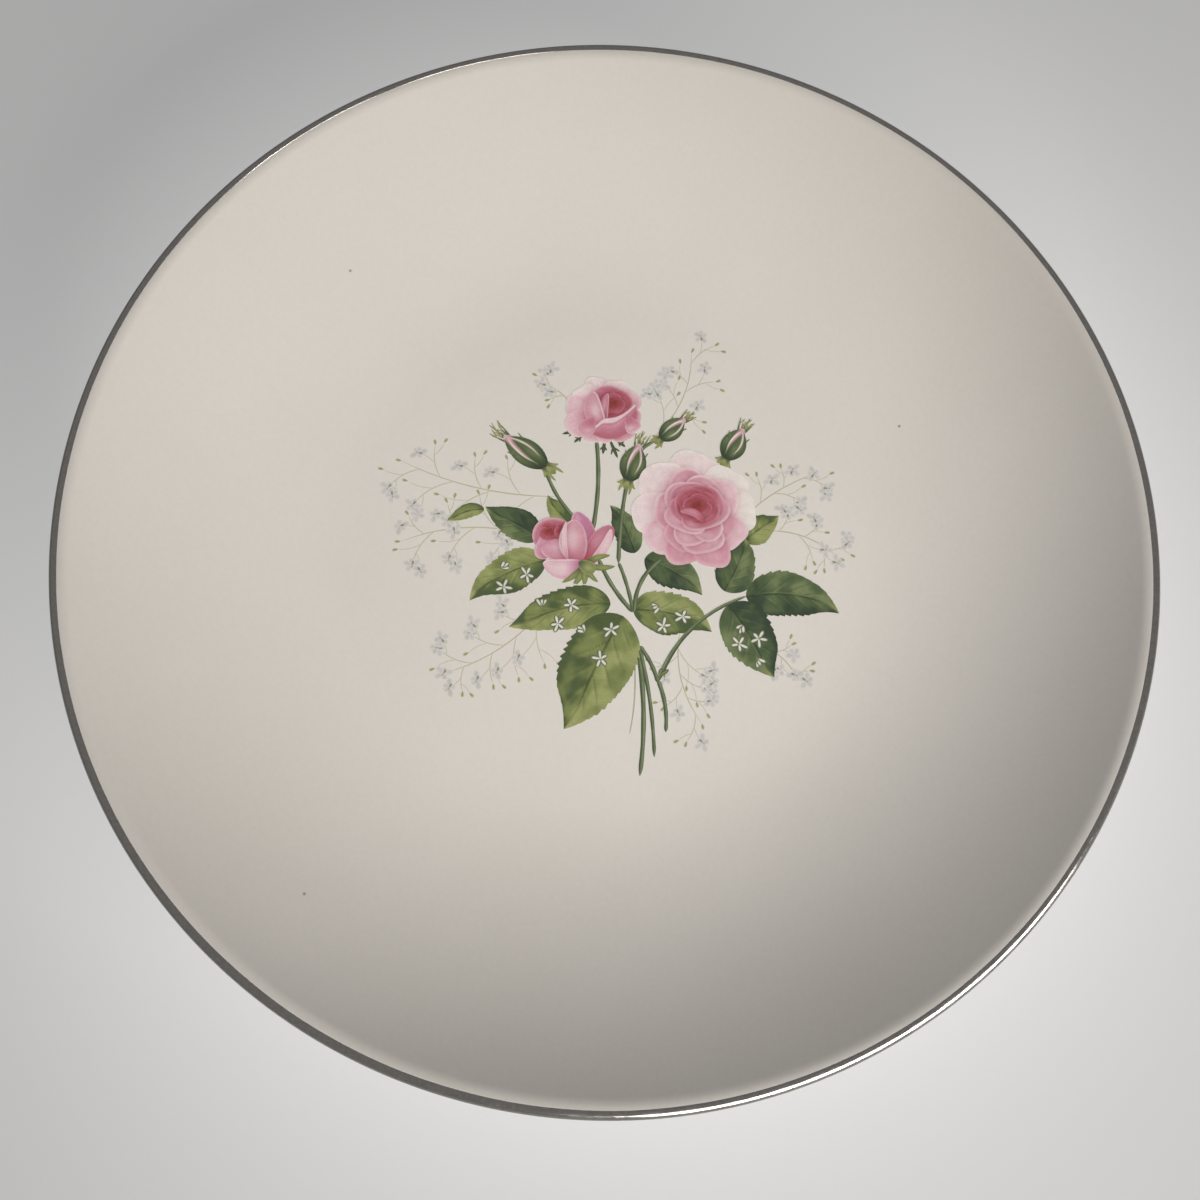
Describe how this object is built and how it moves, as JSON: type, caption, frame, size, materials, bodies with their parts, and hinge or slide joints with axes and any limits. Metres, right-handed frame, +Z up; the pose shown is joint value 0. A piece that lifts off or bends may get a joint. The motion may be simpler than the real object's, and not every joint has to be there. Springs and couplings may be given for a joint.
{
  "type": "dinner plate",
  "caption": "Round coupe-shaped china dinner plate on a foot ring, with a metal line round its edge and a printed bouquet in the well; it holds a served meal.",
  "frame": {"origin": "centre of the foot ring, on the plane it rests on", "axes": "+Z up, along the axis the plate is turned about; +Y towards the top of the printed bouquet; +X to its right, seen from above"},
  "size_m": [0.2601, 0.2602, 0.0263],
  "materials": {
    "bisque": "matt, fired, shows only on the foot ring",
    "glaze": "glossy, warm ivory",
    "platinum": "burnished platinum",
    "rose_pink": "glossy fired print, shaded from pale to deep pink",
    "deep_pink": "glossy fired print",
    "stem_green": "glossy fired print",
    "white_enamel": "glossy fired print",
    "dark_green": "glossy fired print",
    "light_green": "glossy fired print",
    "grey_blue": "glossy fired print",
    "ochre_green": "glossy fired print"
  },
  "bodies": {
    "root": {"porcelain_body": "bisque", "glaze_coat": "glaze", "foot_recess_glaze": "glaze", "platinum_edge_line": "platinum", "large_rose_enamel": "rose_pink", "top_rose_enamel": "rose_pink", "half_open_rose_enamel": "rose_pink", "rosebud_enamel": "deep_pink", "stem_enamel": "stem_green", "star_flower_enamel": "white_enamel", "dark_leaf_enamel": "dark_green", "light_leaf_enamel": "light_green", "spray_floret_enamel": "grey_blue", "spray_stalk_enamel": "ochre_green"}
  },
  "joints": []
}
